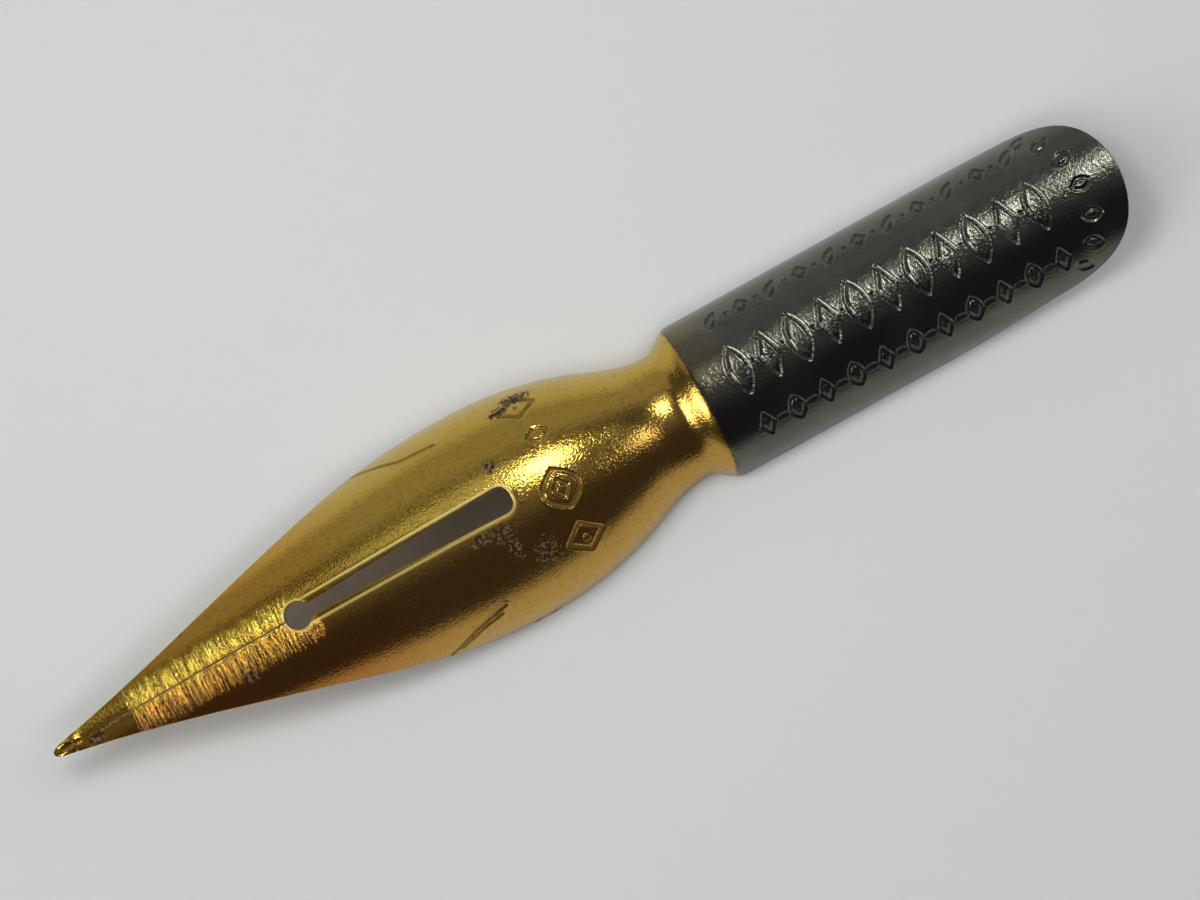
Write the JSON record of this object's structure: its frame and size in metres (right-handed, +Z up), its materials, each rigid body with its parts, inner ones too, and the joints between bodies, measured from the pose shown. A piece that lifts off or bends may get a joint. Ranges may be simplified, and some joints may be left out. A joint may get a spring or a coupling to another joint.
{
  "type": "dip pen nib",
  "caption": "Steel dip pen nib with a gilt waisted bowl, a round vent with a slot, a slit point whose tines spring apart, and a dark half-round shank.",
  "frame": {"origin": "on the plane that the nib rests on, hollow side down, under the middle of its length and width", "axes": "+Y from the writing point towards the heel, +Z up through the crown, +X across the nib to the right as seen from above with the heel up the page"},
  "size_m": [0.0072, 0.038, 0.0035],
  "materials": {
    "dark_steel": "blued spring steel, satin, lightly worn",
    "gilt": "thin gilding over the same spring steel, glossy, with small dark spots"
  },
  "bodies": {
    "body": {"shank": "dark_steel", "bowl": "gilt"},
    "left_tine": {"left_tine": "gilt"},
    "right_tine": {"right_tine": "gilt"}
  },
  "joints": [
    {"name": "left_tine_flex", "type": "hinge", "parent": "body", "child": "left_tine", "pos_m": [-0.00143, -0.01017, 0.00227], "axis": [-0.8463, 0, -0.5327], "range_deg": [0, 5], "stiffness_Nm_per_rad": 0.12},
    {"name": "right_tine_flex", "type": "hinge", "parent": "body", "child": "right_tine", "pos_m": [0.00143, -0.01017, 0.00227], "axis": [-0.8463, 0, 0.5327], "range_deg": [0, 5], "stiffness_Nm_per_rad": 0.12}
  ]
}
